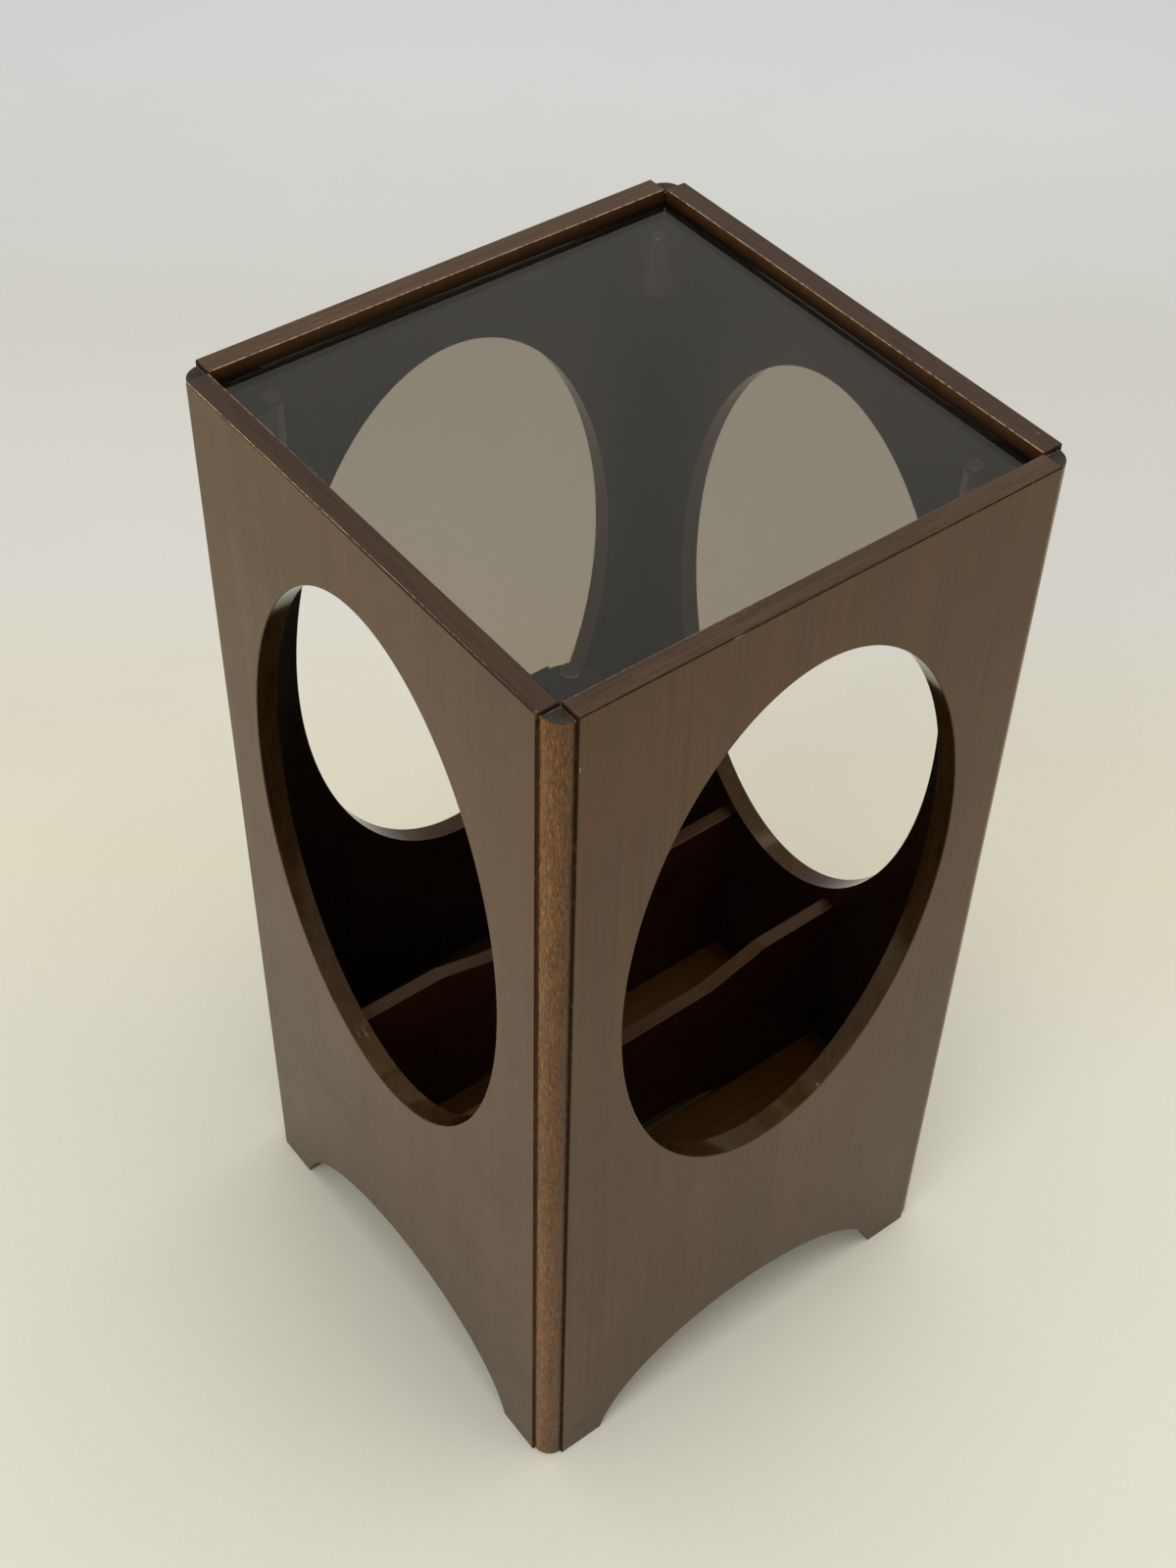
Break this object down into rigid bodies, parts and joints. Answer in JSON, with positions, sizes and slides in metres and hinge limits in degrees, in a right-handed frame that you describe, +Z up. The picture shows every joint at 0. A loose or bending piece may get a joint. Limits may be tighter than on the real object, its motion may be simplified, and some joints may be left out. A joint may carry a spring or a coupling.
{
  "type": "record rack side table",
  "caption": "Square side table for records: upright panels with oval openings and arched feet, round corner posts, a divided record floor inside and a loose smoked glass top.",
  "frame": {"origin": "centre of the base, on the ground between the feet", "axes": "+Z up, front panel towards -Y, right panel towards +X, dividers running along X"},
  "size_m": [0.35, 0.35, 0.714],
  "materials": {
    "panel_veneer": "satin stained veneer",
    "post_wood": "satin stained solid wood",
    "block_wood": "stained, matt",
    "divider_wood": "stained, low sheen",
    "floor_wood": "stained, low sheen",
    "cleat_wood": "bare sawn wood",
    "smoked_glass": "polished smoked grey",
    "clear_bumper": "clear soft plastic",
    "screw_steel": "bright zinc"
  },
  "bodies": {
    "case": {"front_panel": "panel_veneer", "right_panel": "panel_veneer", "back_panel": "panel_veneer", "left_panel": "panel_veneer", "front_left_post": "post_wood", "front_right_post": "post_wood", "back_right_post": "post_wood", "back_left_post": "post_wood", "front_left_block": "block_wood", "front_right_block": "block_wood", "back_right_block": "block_wood", "back_left_block": "block_wood", "front_left_bumper": "clear_bumper", "front_right_bumper": "clear_bumper", "back_right_bumper": "clear_bumper", "back_left_bumper": "clear_bumper", "front_divider": "divider_wood", "back_divider": "divider_wood", "record_floor": "floor_wood", "front_cleat": "cleat_wood", "right_cleat": "cleat_wood", "back_cleat": "cleat_wood", "left_cleat": "cleat_wood", "front_cleat_screw_1": "screw_steel", "front_cleat_screw_2": "screw_steel", "right_cleat_screw_1": "screw_steel", "right_cleat_screw_2": "screw_steel", "back_cleat_screw_1": "screw_steel", "back_cleat_screw_2": "screw_steel", "left_cleat_screw_1": "screw_steel", "left_cleat_screw_2": "screw_steel"},
    "glass_pane": {"glass_top": "smoked_glass"}
  },
  "joints": [
    {"name": "glass_lift", "type": "slide", "parent": "case", "child": "glass_pane", "axis": [0, 0, 1], "range_m": [0, 0.08]}
  ]
}
